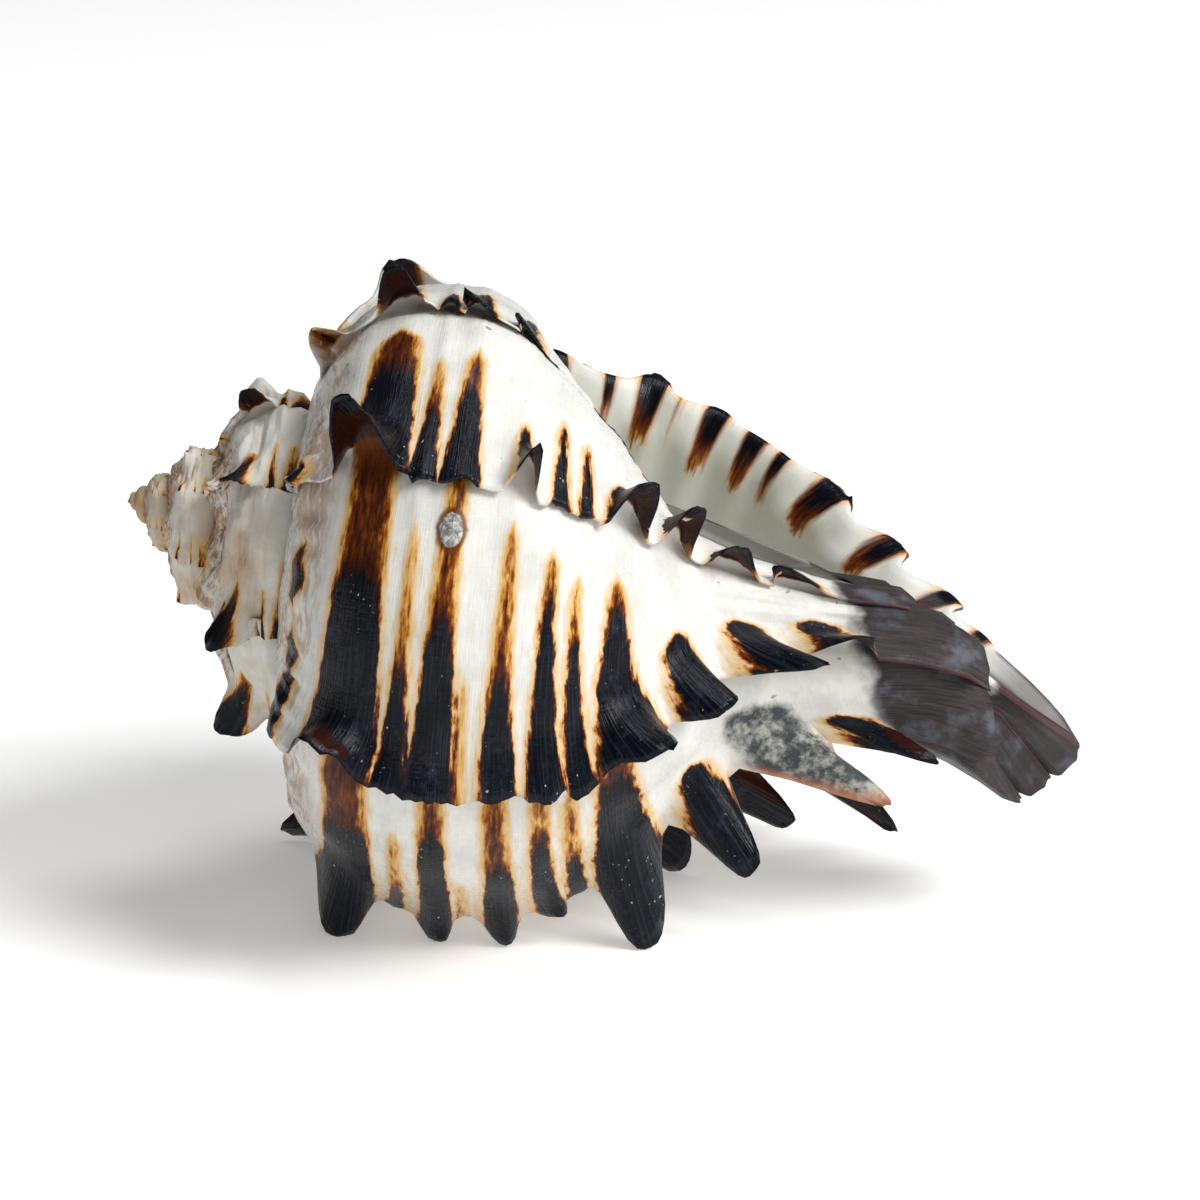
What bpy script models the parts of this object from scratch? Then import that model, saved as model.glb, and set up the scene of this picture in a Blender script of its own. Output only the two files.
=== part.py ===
"""A murex shell, 110 mm long, lying on the spines of two varices with its aperture up.

The shell is one grown piece. It is built the way it grew: the outline of the lip is carried
back round the axis, turning and shrinking towards the apex. At each varix the growing edge
flared out into a ridge and spines. Inside the last whorl the same outline, set in by the
wall, makes the hollow that opens at the aperture.

Metres, +Z up. X runs from the apex to the siphonal canal, and Y away from the viewer's side.
"""

import math

import bmesh
import bpy
import numpy as np
from mathutils import Vector

# Where the apex is, and how the axis lies: turned about Z, and sloping down to the canal
APEX = Vector((-0.0542, -0.0010, 0.0460))
AXIS_TURN = math.radians(-5.5)
AXIS_SLOPE = math.radians(10.5)

# Growth in one turn, of the last whorl, of the spire before it, and of the canal's end
WHORL_GROWTH = 1.63
SPIRE_GROWTH = 2.05
SPIRE_FROM = 300.0
CANAL_GROWTH = 1.27
CANAL_BLEND = (0.086, 0.107)
TURNS = 6.4

# The last whorl is a little flattened where it faces the ground: the share taken off, the
# angle back of its middle, and its spread
FLATTENING = 0.085
FLAT_MIDDLE = 103.0
FLAT_SPREAD = 27.0

# Angle about the axis of the lip, from the viewer's side upwards, in degrees
LIP_ANGLE = 161.5

# The canal's end curves down
BEND_START = 0.086
BEND_RATE = 18.0
BEND_ANGLE = math.radians(-100.0)

# The base is slimmer beside the aperture: the share taken off, and the angles back
SLIMMING = 0.24
SLIM_BACK = (235.0, 300.0)
SLIM_FROM = (0.056, 0.076)
SLIM_TO = (0.090, 0.106)

# On the spire the ramp reaches in to the whorl before, and the shoulder is rounder: the
# shares taken off, and the angles back
TUCK = 0.12
SPIRE_ROUND = 0.10
TUCK_BACK = (300.0, 520.0)

# Outline of the lip: distance along the axis from the apex, and distance from the axis
OUTER = [
    (0.0285, 0.0270),
    (0.0300, 0.0316),
    (0.0326, 0.0364),
    (0.0366, 0.0408),
    (0.0418, 0.0439),
    (0.0478, 0.0455),
    (0.0540, 0.0458),
    (0.0620, 0.0442),
    (0.0690, 0.0410),
    (0.0762, 0.0345),
    (0.0834, 0.0246),
    (0.0905, 0.0160),
    (0.0980, 0.0110),
    (0.1050, 0.0094),
]
# From the canal's end back along the columella and the whorl before
INNER = [
    (0.1050, 0.0056),
    (0.0930, 0.0040),
    (0.0780, 0.0042),
    (0.0640, 0.0050),
    (0.0570, 0.0076),
    (0.0510, 0.0125),
    (0.0460, 0.0185),
    (0.0410, 0.0232),
    (0.0350, 0.0256),
    (0.0295, 0.0250),
]

# Spiral cords: place along the axis at the lip, and half the width of a spine there
CORDS = {
    "ramp": (0.0320, 0.0015),
    "shoulder": (0.0415, 0.0034),
    "first": (0.0485, 0.0012),
    "second": (0.0536, 0.0021),
    "third": (0.0620, 0.0020),
    "fourth": (0.0675, 0.0017),
    "fifth": (0.0712, 0.0015),
    "base": (0.0765, 0.0027),
    "neck": (0.0840, 0.0021),
    "canal": (0.0910, 0.0019),
    "tail": (0.0970, 0.0016),
}
# How blunt a spine is on the whorl, and from this place along, on the neck and the canal
BLUNT = 2.7
NECK_BLUNT = 4.0
NECK_FROM = 0.078

# The varices of the last whorl, from the lip back: the growth angle back from the lip, how
# far the angle grows for each metre along the axis and how much more on the neck, the height
# of the ridge, and the spines. A spine's tip is so far out, so far to the canal and so far
# ahead, in mm, and a fourth figure is half its width. "end" is the scale that the canal's
# own end is drawn out into
VARICES = [
    (0.0, 150, 0, 0.9, {
        "shoulder": (4, 0, 0), "second": (3, 0, 0), "third": (1.5, 0, 0),
        "base": (1, 1, 0), "neck": (2, 1, 0), "canal": (2, 2, 0), "tail": (1, 1, 0),
        "end": (1.5, 5.5, -0.5)}),
    (41.0, 100, 300, 2.6, {
        "shoulder": (7, -1, -4), "second": (4, 0, -2), "third": (5, 0, -2),
        "base": (6, 0, -3), "neck": (8, 1, -3), "canal": (7, 4, -3), "tail": (3, 3, -2),
        "end": (0.5, 6.5, 0.5)}),
    (83.5, 200, 100, 1.3, {
        "shoulder": (8, -10, -2), "second": (4, 0, -1), "third": (3, 0, -1),
        "fourth": (1, 0, 0), "base": (9.5, -3, -1), "neck": (6.5, 4.5, -2, 2.4),
        "canal": (9.5, 8.5, -2.5, 2.4), "tail": (1, 3, -1), "end": (0, 7.5, 1)}),
    (131.0, 280, 300, 1.3, {
        "shoulder": (8, 3, -1, 3.5), "second": (3, 1, 0), "third": (3, 0.5, 0),
        "fourth": (1, 1.5, -1), "base": (13, -5.5, 2, 2.7), "neck": (12.5, -2.5, -1, 2.3),
        "canal": (6.5, 9, -4, 2.6), "tail": (1.5, 9, -3, 2.0), "end": (0, 6.5, -3.5)}),
    (174.5, 220, 1200, 2.6, {
        "shoulder": (2.5, -1, -7.5, 4.2), "first": (0.5, 0, -1.5, 2.4),
        "second": (1, 0, -1), "third": (0.5, 0, -0.5), "fourth": (2, -0.5, 0),
        "fifth": (1.5, -0.5, 1), "base": (4.5, 0.5, -4.5), "neck": (4.5, 0.5, -1.5, 2.3),
        "canal": (4.5, 4.5, -2.5, 2.2), "tail": (3.5, 2, -3.5, 2.0), "end": (1, 7, -1)}),
    (227.0, 90, 650, 1.0, {
        "ramp": (2.5, 0.5, 0.5), "shoulder": (7.5, -0.5, -6, 3.2), "first": (0.5, 0, 0),
        "second": (1, 0, -0.5), "third": (4, 0, -4.5, 1.5), "base": (6, -2.5, -4.5, 2.1),
        "neck": (7.8, -4, -3.6), "canal": (5.3, -3, -1.2), "tail": (2.7, -4.5, -1.2),
        "end": (0.5, 0.5, -0.5)}),
    (268.5, 0, 0, 1.6, {
        "ramp": (2.5, -1, -1), "shoulder": (4.5, 0, -1.5, 2.7), "first": (1, 0, 0),
        "second": (2.6, -2.5, 0.5, 1.6), "third": (2.8, -3.5, -0.5, 1.6)}),
    (313.5, 0, 0, 2.0, {"shoulder": (3, -1, 0), "second": (2, 0, 0)}),
]
# On the spire, against the size of the shell there, and the share that wear leaves of each
# earlier whorl's
SPIRE_SPINES = {"shoulder": (4.6, -1.0, 0.5), "ramp": (0.8, 0, 0)}
SPIRE_RIDGE = 1.6
SPIRE_WHORLS = 3
SPIRE_WEAR = 0.45
# Degrees over which a varix rises, the steps of its rise, and where the canal's end begins
VARIX_RISE = 19.0
RISE_STEPS = (0.0, 0.3, 0.5, 0.66, 0.8, 0.9, 1.0)
END_FROM = (0.0975, 0.1040)
# Down under an edge: the shares left of its flare and of the canal's scale, and how far
# ahead of the edge, in metres at the lip's size
UNDER_EDGE = ((0.93, 0.80, 0.0011), (0.45, 0.60, 0.0007))
# The same from the lip's edge inwards, with the share of the wall
LIP_EDGE = ((0.93, 0.82, 0.0010, 0.25), (0.45, 0.40, 0.0006, 0.70))

# The wall between the outside and the hollow, and how far round the hollow goes
WALL = 0.0026
CANAL_WALL = 0.0013
HOLLOW_TURN = 235.0

# Steps of the sweep, and of the final mesh
OUTER_STEPS = 88
INNER_STEPS = 20
VOXEL = 0.00075
TRIANGLES = 9600


def smooth_step(value, low, high):
    """0 below low, 1 above high, and smooth between."""
    t = np.clip((np.asarray(value, float) - low) / (high - low), 0.0, 1.0)
    return t * t * (3 - 2 * t)


def curve_through(points, steps):
    """A smooth curve through the points, as evenly spaced samples."""
    points = np.array(points)
    last = len(points) - 1
    t = np.linspace(0, last, 40 * last + 1)
    i = np.minimum(t.astype(int), last - 1)
    f = (t - i)[:, None]
    before, here = points[np.maximum(i - 1, 0)], points[i]
    ahead, beyond = points[i + 1], points[np.minimum(i + 2, last)]
    curve = here + 0.5 * f * (
        (ahead - before)
        + f * (2 * before - 5 * here + 4 * ahead - beyond)
        + f * f * (3 * here - before - 3 * ahead + beyond)
    )
    length = np.concatenate([[0], np.cumsum(np.linalg.norm(np.diff(curve, axis=0), axis=1))])
    even = np.linspace(0, length[-1], steps)
    return np.stack([np.interp(even, length, curve[:, k]) for k in (0, 1)], 1)


class LipOutline:
    """The closed outline of the lip: outer side first, then back along the inner side."""

    def __init__(self):
        outer = curve_through(OUTER, OUTER_STEPS)
        inner = curve_through(INNER, INNER_STEPS)
        self.points = np.concatenate([outer, inner])
        self.along, self.radius = self.points.T
        tangent = np.roll(self.points, -1, axis=0) - np.roll(self.points, 1, axis=0)
        tangent /= np.linalg.norm(tangent, axis=1)[:, None]
        self.normal = np.stack([-tangent[:, 1], tangent[:, 0]], 1)
        # 1 on the outer side, and fading round both its ends on the inner side
        place = np.arange(len(self.points))
        past_end = (place - OUTER_STEPS + 1) / 4.0
        near_start = np.arange(len(place))[::-1] / 3.0
        inside = np.clip(1 - past_end, 0, 1) * np.clip(near_start, 0, 1)
        self.grip = np.where(place < OUTER_STEPS, 1.0, inside)
        self.canal = smooth_step(self.along, *CANAL_BLEND)
        self.slim = smooth_step(self.along, *SLIM_FROM) * (1 - smooth_step(self.along, *SLIM_TO))
        outside = (place < OUTER_STEPS).astype(float)
        inner = (1 - outside) * (1 - smooth_step(self.along, 0.036, 0.050))
        ramp = outside * (1 - smooth_step(self.along, 0.030, 0.036))
        self.tuck = np.maximum(inner, ramp)
        self.shoulder = outside * (1 - smooth_step(self.along, 0.032, 0.050))


OUTLINE = LipOutline()


def axis_frame():
    """Unit vectors along the axis, towards the viewer's side, and up."""
    along = np.array([
        math.cos(AXIS_TURN) * math.cos(AXIS_SLOPE),
        math.sin(AXIS_TURN) * math.cos(AXIS_SLOPE),
        -math.sin(AXIS_SLOPE),
    ])
    front = np.array([math.sin(AXIS_TURN), -math.cos(AXIS_TURN), 0.0])
    return along, front, np.cross(front, along)


ALONG, FRONT, UP = axis_frame()


def in_world(along, front, up):
    """Points from their three distances, with the canal's curve."""
    bend = BEND_RATE * np.maximum(along - BEND_START, 0.0) ** 2
    front = front + bend * math.cos(BEND_ANGLE)
    up = up + bend * math.sin(BEND_ANGLE)
    return (
        np.array(APEX)
        + along[:, None] * ALONG
        + front[:, None] * FRONT
        + up[:, None] * UP
    )


def whorl_size(back):
    """Size at an angle back from the lip, in degrees, against the lip's."""
    last = np.minimum(back, SPIRE_FROM) / 360.0
    spire = np.maximum(back - SPIRE_FROM, 0.0) / 360.0
    flattened = FLATTENING * np.exp(-(((back - FLAT_MIDDLE) / FLAT_SPREAD) ** 2))
    return WHORL_GROWTH ** -last * SPIRE_GROWTH ** -spire * (1 - flattened)


def varix(number):
    """A varix, counted back from the lip: angle back, two tilts, ridge height and spines."""
    turn, place = divmod(number, len(VARICES))
    back, tilt, neck_tilt, ridge, spines = VARICES[place]
    back = back + 360.0 * turn
    if turn == 0:
        return back, (tilt, neck_tilt), ridge, spines
    size = whorl_size(back) / whorl_size(360.0) * SPIRE_WEAR ** (turn - 1)
    spines = {name: [size * part for part in tip] for name, tip in SPIRE_SPINES.items()}
    return back, (0.0, 0.0), SPIRE_RIDGE * size, spines


def flare_of(number):
    """How far a varix's edge stands out: along the normal, the axis and the growth.

    The second three are the same for the scale at the canal's own end.
    """
    back, _, ridge, spines = varix(number)
    along = OUTLINE.along
    rise = ridge * 0.001 * smooth_step(along, 0.0288, 0.033)
    out = rise * (1 - 0.6 * OUTLINE.canal)
    axial = np.zeros(len(along))
    forward = 0.3 * rise
    for name, tip in spines.items():
        if name == "end":
            continue
        place, half = CORDS[name]
        half = tip[3] * 0.001 if len(tip) > 3 else half
        blunt = NECK_BLUNT if place > NECK_FROM else BLUNT
        bell = np.exp(-np.abs((along - place) / half) ** blunt) * 0.001
        out = out + tip[0] * bell
        axial = axial + tip[1] * bell
        forward = forward + tip[2] * bell
    reach = smooth_step(along, *END_FROM) * 0.001 * OUTLINE.grip
    end = [part * reach for part in spines.get("end", (0, 0, 0))]
    # Later whorls cover the spire below its shoulder, and the aperture's side is smooth
    if back >= 350.0:
        shown = 1 - smooth_step(along, 0.045, 0.048)
    elif back > 300.0:
        shown = 1 - 0.9 * smooth_step(along, 0.046, 0.056)
    elif back > 260.0:
        shown = 1 - 0.9 * smooth_step(along, 0.060, 0.070)
    else:
        shown = 1.0
    return [part * shown * OUTLINE.grip for part in (out, axial, forward)], end


def end_scale(share):
    """How far the canal's end is drawn out, at a share of the way between two varices."""
    return (0.5 + 0.5 * smooth_step(share, 0.0, 0.40)) * (1 - 0.12 * smooth_step(share, 0.8, 1.0))


def outline_at(back, tilt=(0.0, 0.0), lift=0.0, flare=None, end_lift=0.0, inset=0.0, ahead=0.0):
    """The outline at an angle back from the lip, lifted towards a varix's flare."""
    turned = back + tilt[0] * (OUTLINE.along - 0.055)
    turned = turned + tilt[1] * np.maximum(OUTLINE.along - NECK_FROM, 0.0)
    size = whorl_size(turned) * (1 - OUTLINE.canal)
    size = size + CANAL_GROWTH ** (-turned / 360.0) * OUTLINE.canal
    angle = np.radians(LIP_ANGLE + turned)
    along = OUTLINE.along * size
    radius = OUTLINE.radius * size
    tucked = TUCK * OUTLINE.tuck + SPIRE_ROUND * OUTLINE.shoulder
    radius = radius * (1 - smooth_step(back, *TUCK_BACK) * tucked)
    radius = radius * (1 - SLIMMING * smooth_step(back, *SLIM_BACK) * OUTLINE.slim)
    ahead = np.full(len(along), ahead)
    if flare is not None:
        for (out, axial, forward), part in zip(flare, (lift, end_lift)):
            along = along + part * (out * OUTLINE.normal[:, 0] + axial)
            radius = radius + part * out * OUTLINE.normal[:, 1]
            ahead = ahead + part * forward
    wall = inset * (WALL * (1 - OUTLINE.canal) + CANAL_WALL * OUTLINE.canal)
    along = along - wall * OUTLINE.normal[:, 0]
    radius = radius - wall * OUTLINE.normal[:, 1]
    front = radius * np.cos(angle) + ahead * np.sin(angle)
    up = radius * np.sin(angle) - ahead * np.cos(angle)
    return in_world(along, front, up)


def outside_rows():
    """Outlines from the apex to the lip's edge."""
    count = len(VARICES) * (1 + SPIRE_WHORLS)
    first_back = varix(count - 1)[0]
    rows = [outline_at(back) for back in np.arange(TURNS * 360, first_back + VARIX_RISE, -24)]
    for number in range(count - 1, -1, -1):
        flare = flare_of(number)
        back, tilt = varix(number)[:2]
        before, tilt_before = varix(number + 1)[:2]
        start = min(back + VARIX_RISE, before - 4.0)
        for between in np.arange(before - 3.0, start + 2.0, -9.0):
            way = (before - between) / (before - start)
            lean = [old + (new - old) * way for old, new in zip(tilt_before, tilt)]
            reach = end_scale((before - between) / (before - back))
            rows.append(outline_at(between, lean, 0.0, flare, reach))
        for rise in RISE_STEPS:
            angle = start + (back - start) * rise
            reach = end_scale((before - angle) / (before - back))
            rows.append(outline_at(angle, tilt, rise ** 3, flare, reach))
        if number:
            # The edge's own thickness, and down under it to the whorl that follows
            size = whorl_size(back)
            for lift, reach, ahead in UNDER_EDGE:
                rows.append(outline_at(back, tilt, lift, flare, reach, ahead=ahead * size))
            rows.append(outline_at(back - 0.6, tilt, 0.0, flare_of(number - 1), end_scale(0.0)))
    return rows


def hollow_rows():
    """Outlines from the lip's edge back into the hollow, ending in its far end."""
    flare = flare_of(0)
    tilt = varix(0)[1]
    rows = [
        outline_at(0.0, tilt, lift, flare, reach, inset, ahead)
        for lift, reach, ahead, inset in LIP_EDGE
    ]
    rows.append(outline_at(4.0, tilt, inset=0.9))
    rows += [outline_at(back, tilt, inset=1.0) for back in np.arange(12.0, HOLLOW_TURN, 9.0)]
    middle = rows[-1].mean(axis=0)
    for shrink, further in ((0.75, 8.0), (0.4, 13.0)):
        row = outline_at(HOLLOW_TURN + further, tilt, inset=1.0)
        rows.append(middle + (row - middle) * shrink)
    return rows


def swept_shell():
    """A closed mesh: outlines joined into a tube that turns in at the lip."""
    rows = outside_rows() + hollow_rows()
    columns = len(OUTLINE.points)
    mesh = bmesh.new()
    bmesh.ops.create_grid(mesh, x_segments=columns, y_segments=len(rows) - 1, size=1.0)
    for vertex in mesh.verts:
        column = round((vertex.co.x + 1) / 2 * columns) % columns
        row = round((vertex.co.y + 1) / 2 * (len(rows) - 1))
        vertex.co = Vector(rows[row][column])
    bmesh.ops.remove_doubles(mesh, verts=mesh.verts, dist=1e-6)
    rim = [edge for edge in mesh.edges if edge.is_boundary]
    bmesh.ops.holes_fill(mesh, edges=rim)
    bmesh.ops.recalc_face_normals(mesh, faces=mesh.faces)
    return mesh


def mesh_object(name, mesh):
    data = bpy.data.meshes.new(name)
    mesh.to_mesh(data)
    mesh.free()
    return bpy.data.objects.new(name, data)


def keep_largest_body(mesh):
    """Removes every loose body but the largest."""
    waiting = set(mesh.verts)
    bodies = []
    while waiting:
        body, edge = set(), [waiting.pop()]
        while edge:
            vertex = edge.pop()
            body.add(vertex)
            for link in vertex.link_edges:
                other = link.other_vert(vertex)
                if other in waiting:
                    waiting.remove(other)
                    edge.append(other)
        bodies.append(body)
    largest = max(bodies, key=len)
    spare = [vertex for vertex in mesh.verts if vertex not in largest]
    bmesh.ops.delete(mesh, geom=spare, context="VERTS")


def wear_flat(mesh):
    """Cuts the tips that the shell lies on level with the ground."""
    cut = bmesh.ops.bisect_plane(
        mesh, geom=mesh.verts[:] + mesh.edges[:] + mesh.faces[:], dist=1e-7,
        plane_co=(0, 0, 0), plane_no=(0, 0, -1), clear_outer=True,
    )
    edges = [item for item in cut["geom_cut"] if isinstance(item, bmesh.types.BMEdge)]
    bmesh.ops.holes_fill(mesh, edges=edges)
    bmesh.ops.triangulate(mesh, faces=[face for face in mesh.faces if len(face.verts) > 3])
    bmesh.ops.recalc_face_normals(mesh, faces=mesh.faces)


def one_solid(swept, collection):
    """The whorls joined where they overlap, thinned, and worn flat at the ground."""
    collection.objects.link(swept)
    join = swept.modifiers.new("join", "REMESH")
    join.mode = "VOXEL"
    join.voxel_size = VOXEL
    soften = swept.modifiers.new("soften", "SMOOTH")
    soften.factor = 0.5
    soften.iterations = 1
    bpy.context.view_layer.update()
    graph = bpy.context.evaluated_depsgraph_get()
    joined = len(swept.evaluated_get(graph).data.polygons) * 2
    thin = swept.modifiers.new("thin", "DECIMATE")
    thin.ratio = TRIANGLES / joined
    bpy.context.view_layer.update()
    graph = bpy.context.evaluated_depsgraph_get()
    data = bpy.data.meshes.new_from_object(swept.evaluated_get(graph))
    bpy.data.objects.remove(swept)
    mesh = bmesh.new()
    mesh.from_mesh(data)
    keep_largest_body(mesh)
    wear_flat(mesh)
    shell = mesh_object("murex_shell", mesh)
    collection.objects.link(shell)
    return shell


def shell_material():
    material = bpy.data.materials.new("banded_shell")
    material.use_nodes = True
    surface = material.node_tree.nodes["Principled BSDF"]
    surface.inputs["Base Color"].default_value = (0.80, 0.76, 0.68, 1.0)
    surface.inputs["Roughness"].default_value = 0.35
    surface.inputs["Metallic"].default_value = 0.0
    return material


def main():
    for item in list(bpy.data.objects):
        bpy.data.objects.remove(item)
    collection = bpy.data.collections.new("murex_shell")
    bpy.context.scene.collection.children.link(collection)
    shell = one_solid(mesh_object("swept", swept_shell()), collection)
    shell.data.materials.append(shell_material())
    shell.data.shade_smooth()


main()
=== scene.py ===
# A black and white murex shell lying on its spines, aperture up, on a pale floor.
# Its skin is grown as the shell was: the outline of the lip goes back round the axis,
# shrinking towards the apex, and flares into a frilled edge at every varix.
import math

import bmesh
import bpy
import numpy as np
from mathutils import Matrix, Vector, noise


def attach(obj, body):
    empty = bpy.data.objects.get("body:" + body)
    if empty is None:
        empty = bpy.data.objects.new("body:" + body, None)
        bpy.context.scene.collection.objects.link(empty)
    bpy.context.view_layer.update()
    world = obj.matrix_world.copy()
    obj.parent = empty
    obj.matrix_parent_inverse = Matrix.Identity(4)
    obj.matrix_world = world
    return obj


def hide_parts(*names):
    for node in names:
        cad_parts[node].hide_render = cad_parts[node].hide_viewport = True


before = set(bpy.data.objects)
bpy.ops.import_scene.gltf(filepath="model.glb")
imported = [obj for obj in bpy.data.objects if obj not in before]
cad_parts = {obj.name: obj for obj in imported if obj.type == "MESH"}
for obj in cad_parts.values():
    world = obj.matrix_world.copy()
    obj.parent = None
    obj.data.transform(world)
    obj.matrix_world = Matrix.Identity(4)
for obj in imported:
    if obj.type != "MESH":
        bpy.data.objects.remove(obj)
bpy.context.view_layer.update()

print("frame loaded")

# How the shell grows: metres along its axis from the apex and out from the axis, and
# degrees back from the lip
growth = {
    "apex": (-0.0542, -0.0010, 0.0460),
    "axisTurn": -5.5, "axisSlope": 10.5,  # degrees about Z, and down towards the canal
    "whorl": 1.63, "spire": 2.05, "spireFrom": 300.0,  # growth in one turn
    "canal": 1.27, "canalBlend": (0.086, 0.107),
    "turns": 6.4, "neckFrom": 0.078, "tiltAbout": 0.055,
    "flattening": 0.085, "flatMiddle": 103.0, "flatSpread": 27.0,
    "lipAngle": 161.5,
    "bendStart": 0.086, "bendRate": 18.0, "bendAngle": -100.0,
    "shoulderRadius": 0.044,  # of the last whorl
    "degreeArc": 0.75,  # mm of arc to a degree there
    # How much slimmer the neck is where later whorls lie over it
    "slimming": 0.24, "slimBack": (235.0, 300.0),
    "slimFrom": (0.056, 0.076), "slimTo": (0.090, 0.106),
    # Towards the spire the ramp reaches in to the whorl before, and the shoulder is rounder
    "tuck": 0.12, "tuckBack": (190.0, 400.0),
    "tuckRamp": (0.030, 0.036), "tuckInner": (0.036, 0.050),
    "spireRound": 0.10, "roundBack": (300.0, 520.0), "roundAlong": (0.032, 0.050),
    "wall": 0.0022, "canalWall": 0.0012, "hollowTurn": 260.0,
    # The outline of the lip: its outer side from the suture to the canal, and its inner side
    # back, where the flares fade out over the first stretch
    "flareFade": 0.0175,
    "outer": [
        (0.0285, 0.0270), (0.0300, 0.0316), (0.0326, 0.0364), (0.0366, 0.0408),
        (0.0418, 0.0439), (0.0478, 0.0455), (0.0540, 0.0458), (0.0620, 0.0442),
        (0.0690, 0.0410), (0.0762, 0.0345), (0.0834, 0.0246), (0.0905, 0.0160),
        (0.0980, 0.0110), (0.1050, 0.0094),
    ],
    "inner": [
        (0.1050, 0.0056), (0.0930, 0.0040), (0.0780, 0.0042), (0.0640, 0.0050),
        (0.0570, 0.0076), (0.0510, 0.0125), (0.0460, 0.0185), (0.0410, 0.0232),
        (0.0350, 0.0256), (0.0295, 0.0250),
    ],
}

# Spiral cords: place along the axis at the lip, and half the width of a spine there
cords = {
    "ramp": (0.0320, 0.0015), "shoulder": (0.0415, 0.0034), "first": (0.0485, 0.0012),
    "second": (0.0536, 0.0021), "third": (0.0620, 0.0020), "fourth": (0.0675, 0.0017),
    "fifth": (0.0712, 0.0015), "base": (0.0765, 0.0027), "neck": (0.0840, 0.0021),
    "canal": (0.0910, 0.0019), "tail": (0.0970, 0.0016),
}

# Varices from the lip back: degrees back, degrees of tilt per metre along, more of it on the
# neck, ridge in mm, and each spine's tip out, along and ahead in mm, and half its width in
# mm where it isn't its cord's. "end" is the scale that the canal's end is drawn out into
varices = [
    (0.0, 150, 0, 0.9, {
        "shoulder": (4, 0, 0), "second": (3, 0, 0), "third": (1.5, 0, 0),
        "base": (1, 1, 0), "neck": (2, 1, 0), "canal": (2, 2, 0), "tail": (1, 1, 0),
        "end": (1.5, 5.5, -0.5)}),
    (41.0, 100, 300, 2.6, {
        "shoulder": (7, -1, -4), "second": (4, 0, -2), "third": (5, 0, -2),
        "base": (6, 0, -3), "neck": (8, 1, -3), "canal": (7, 4, -3), "tail": (3, 3, -2),
        "end": (0.5, 6.5, 0.5)}),
    (83.5, 200, 100, 1.3, {
        "shoulder": (8, -10, -2), "second": (4, 0, -1), "third": (3, 0, -1),
        "fourth": (1, 0, 0), "base": (9.5, -3, -1), "neck": (6.5, 4.5, -2, 2.4),
        "canal": (9.5, 8.5, -2.5, 2.4), "tail": (1, 3, -1), "end": (0, 7.5, 1)}),
    (131.0, 280, 300, 1.3, {
        "shoulder": (7, 3, -1, 3.1), "second": (3, 1, 0), "third": (3, 0.5, 0),
        "fourth": (1, 1.5, -1), "base": (13, -5.5, 2, 2.45), "neck": (12.5, -2.5, -1, 2.3),
        "canal": (6.5, 9, -4, 2.6), "tail": (1.5, 9, -3, 2.0), "end": (0, 6.5, -3.5)}),
    (174.5, 220, 1200, 2.6, {
        "shoulder": (2.5, -1, -7.5, 4.2), "first": (0.5, 0, -1.5, 2.4),
        "second": (1, 0, -1), "third": (0.5, 0, -0.5), "fourth": (2, -0.5, 0),
        "fifth": (1.5, -0.5, 1), "base": (4.5, 0.5, -4.5), "neck": (4.5, 0.5, -1.5, 2.3),
        "canal": (4.5, 4.5, -2.5, 2.2), "tail": (3.5, 2, -3.5, 2.0), "end": (1, 7, -1)}),
    (227.0, 90, 650, 1.0, {
        "ramp": (2.5, 0.5, 0.5), "shoulder": (7.5, -0.5, -6, 3.2), "first": (0.5, 0, 0),
        "second": (1, 0, -0.5), "third": (4, 0, -4.5, 1.5), "base": (6, -2.5, -4.5, 2.1),
        "neck": (7.8, -4, -3.6), "canal": (5.3, -3, -1.2), "tail": (2.7, -4.5, -1.2),
        "end": (0.5, 0.5, -0.5)}),
    (268.5, 0, 0, 0.8, {
        "ramp": (2.5, -1, -1), "shoulder": (4.5, 0, -1.5, 2.7), "first": (1, 0, 0),
        "second": (2.6, -2.5, 0.5, 1.6), "third": (2.8, -3.5, -0.5, 1.6)}),
    (313.5, 0, 0, 2.0, {"shoulder": (3, -1, 0), "second": (2, 0, 0)}),
]

skin = {
    "columns": 130,  # round the outline
    "cordCrowding": 2.0, "innerCrowding": 0.22,  # how close columns stand, on cords and inside
    "wornFrom": 15,  # the varices from here to the apex are worn down to swellings
    "finest": 0.00074,  # arc between rows at a varix
    "varixRise": 19.0,  # degrees over which an edge rises
    "spireWhorls": 3, "spireRidge": 1.6,
    "spireSpines": {"shoulder": (4.6, -1.0, 0.5), "ramp": (0.8, 0, 0)}, "spireWear": 0.45,
    "edgeThickness": 0.0005, "frill": 0.0013,  # and how ragged the edges are
    "blunt": 2.7, "neckBlunt": 4.0,  # how broad the spines' tips are
    # The canal's end: where it starts, how far out it is at first, when it is grown, and
    # how much of it is worn off by the next varix
    "endFrom": (0.0975, 0.1040), "endAtFirst": 0.66, "endGrown": 0.40, "endWorn": 0.12,
    "restSoft": 0.00022,  # how rounded the tips are where they touch the ground
    "undulation": 0.00044, "cordRelief": 0.00030, "thread": 0.00006, "threadEvery": 1.35,
    "lipFold": 0.00045, "lipFoldEvery": 6.6, "sutureFold": 0.0015, "spireLump": 0.0030,
    # Where later whorls cover a varix: from how many degrees back, the share of its height
    # that is gone, and from where to where along the axis it fades
    "covered": [(350.0, 1.0, 0.045, 0.048), (300.0, 0.9, 0.046, 0.056),
                (260.0, 0.9, 0.060, 0.070)],
    # The grey, mottled spine: its varix and cord, and half its width in mm
    "mottled": (3, "canal", 3.2),
}

# The scar on the last whorl: its place, half its size and its radius in mm, and its height
scar = {
    "along": 0.0535, "back": 218.7, "halfAcross": 1.30, "halfAlong": 1.90, "radius": 45.5,
    "height": 0.00045,
}


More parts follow.
